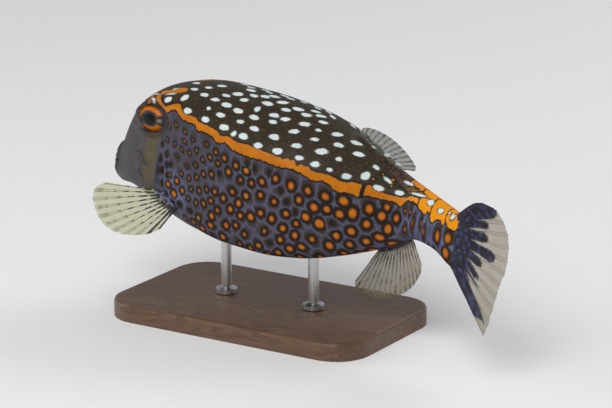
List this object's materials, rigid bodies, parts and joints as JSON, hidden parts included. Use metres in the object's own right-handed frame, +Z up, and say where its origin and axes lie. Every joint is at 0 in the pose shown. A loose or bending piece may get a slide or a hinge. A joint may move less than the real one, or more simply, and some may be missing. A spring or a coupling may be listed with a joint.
{
  "type": "spotted boxfish model",
  "caption": "Still, life-size spotted boxfish with a boxy shell, ridged back, spread fins and a bent tail, held up by a flat base and short rods.",
  "frame": {"origin": "middle of the underside of the stand's base", "axes": "+Z up; the fish heads along -X with its left side towards -Y"},
  "size_m": [0.1603, 0.0704, 0.0769],
  "materials": {
    "face_grey": "smooth, slightly moist dark grey skin with an olive bar behind the cheek",
    "shell_spotted": "satin skin over bony shell: white-spotted black back, wavy orange band, violet flanks with ringed orange spots",
    "stalk_orange": "satin skin, bright orange above with white spots, blue net and orange spots on its sides",
    "eye_amber": "glossy dark pupil in an orange ring",
    "fin_clear": "clear greyish membrane with fine dark-dashed rays",
    "fin_dark": "blue-black streaked membrane, clear towards its margin",
    "stand_wood": "fine satin dark wood",
    "stand_steel": "brushed rods with small round feet"
  },
  "bodies": {
    "root": {"lip_upper": "face_grey", "lip_lower": "face_grey", "head": "face_grey", "eye_left": "eye_amber", "eye_right": "eye_amber", "torso": "shell_spotted", "tail_stalk": "stalk_orange", "pectoral_fin_left": "fin_clear", "pectoral_fin_right": "fin_clear", "dorsal_fin": "fin_clear", "anal_fin": "fin_clear", "caudal_fin": "fin_dark", "stand_base": "stand_wood", "stand_rod_front": "stand_steel", "stand_rod_rear": "stand_steel"}
  },
  "joints": []
}
